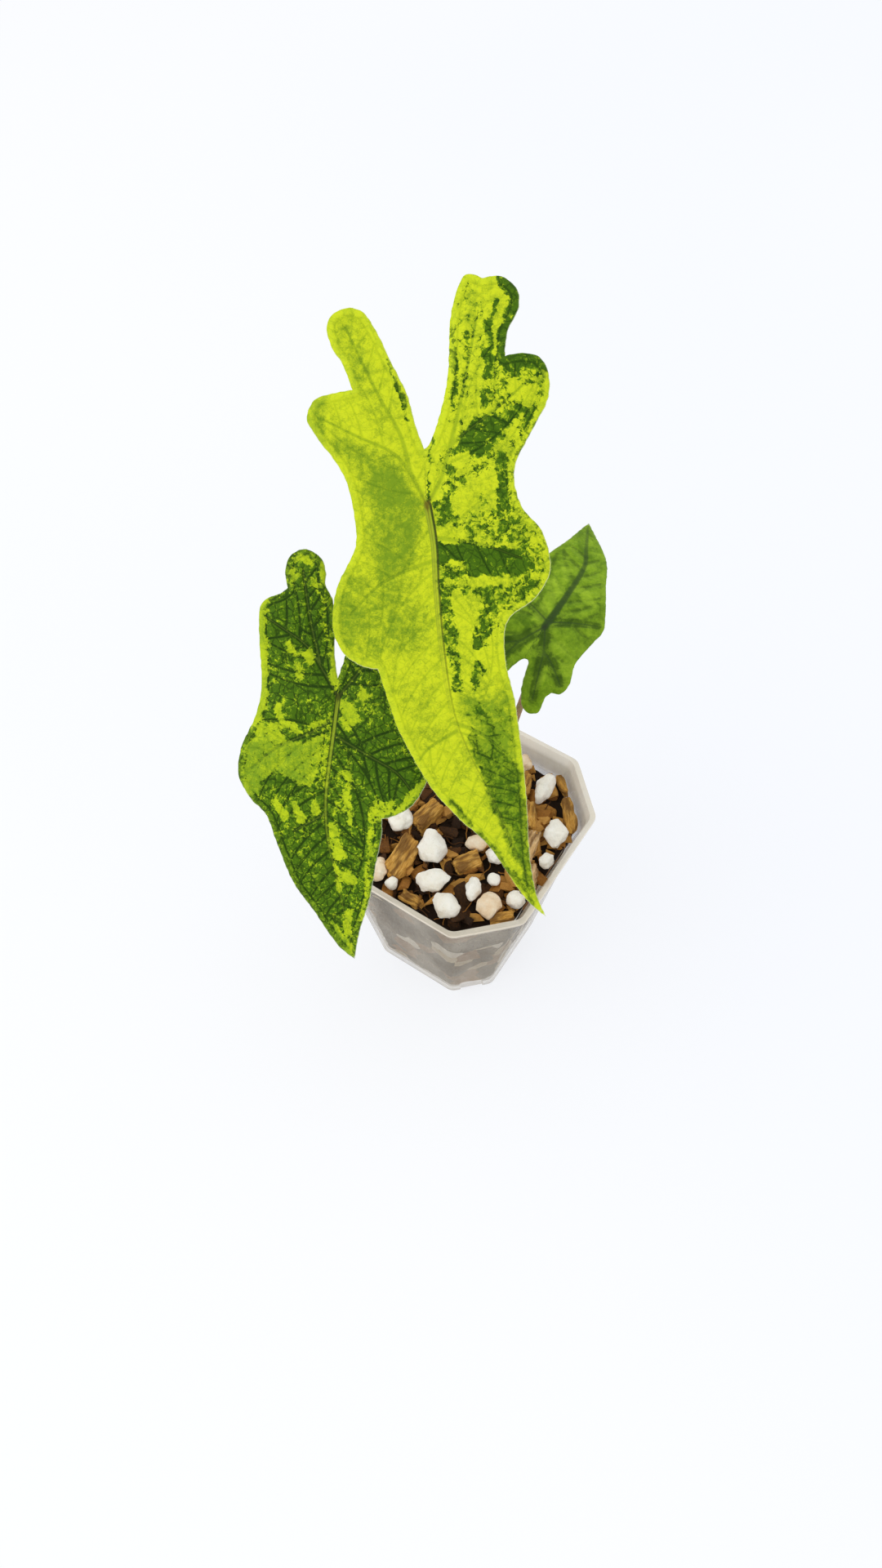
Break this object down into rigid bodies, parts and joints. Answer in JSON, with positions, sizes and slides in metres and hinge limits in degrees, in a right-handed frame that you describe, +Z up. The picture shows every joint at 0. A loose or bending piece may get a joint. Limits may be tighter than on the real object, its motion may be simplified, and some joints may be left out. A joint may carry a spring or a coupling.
{
  "type": "potted variegated jacklyn alocasia",
  "caption": "Young house plant with lobed, arrow-shaped, variegated leaves on slender stalks, set in bark and pumice in a small clear square pot.",
  "frame": {"origin": "centre of the pot's flat base, on the surface that it stands on", "axes": "+Z up, X and Y along the pot's flat sides; the leaves face about 33 degrees round from -Y towards +X"},
  "size_m": [0.0923, 0.1474, 0.2335],
  "materials": {
    "clear_plastic": "gloss",
    "bark_dark": "matte",
    "bark_tan": "matte",
    "bark_pale": "matte",
    "pumice_white": "matte",
    "pumice_cream": "matte",
    "stem": "satin",
    "petiole": "satin",
    "leaf_main": "satin",
    "leaf_left": "satin",
    "leaf_back": "satin"
  },
  "bodies": {
    "root": {"crown": "stem", "blade_main": "leaf_main", "petiole_main": "petiole", "blade_left": "leaf_left", "petiole_left": "petiole", "blade_back": "leaf_back", "petiole_back": "petiole", "pot": "clear_plastic", "pumice_01": "pumice_white", "pumice_02": "pumice_white", "pumice_03": "pumice_white", "pumice_04": "pumice_white", "pumice_05": "pumice_cream", "pumice_06": "pumice_white", "pumice_07": "pumice_white", "pumice_08": "pumice_cream", "pumice_09": "pumice_cream", "pumice_10": "pumice_white", "pumice_11": "pumice_white", "pumice_12": "pumice_cream", "pumice_13": "pumice_white", "pumice_14": "pumice_white", "pumice_15": "pumice_white", "pumice_16": "pumice_white", "pumice_17": "pumice_white", "pumice_18": "pumice_white", "pumice_19": "pumice_white", "pumice_20": "pumice_white", "bark_01": "bark_tan", "bark_02": "bark_tan", "bark_03": "bark_tan", "bark_04": "bark_tan", "bark_05": "bark_tan", "bark_06": "bark_tan", "bark_07": "bark_pale", "bark_08": "bark_pale", "bark_09": "bark_tan", "bark_10": "bark_tan", "bark_11": "bark_tan", "bark_12": "bark_tan", "bark_13": "bark_tan", "bark_14": "bark_tan", "bark_15": "bark_tan", "bark_16": "bark_tan", "bark_17": "bark_tan", "bark_18": "bark_tan", "bed": "bark_dark"}
  },
  "joints": []
}
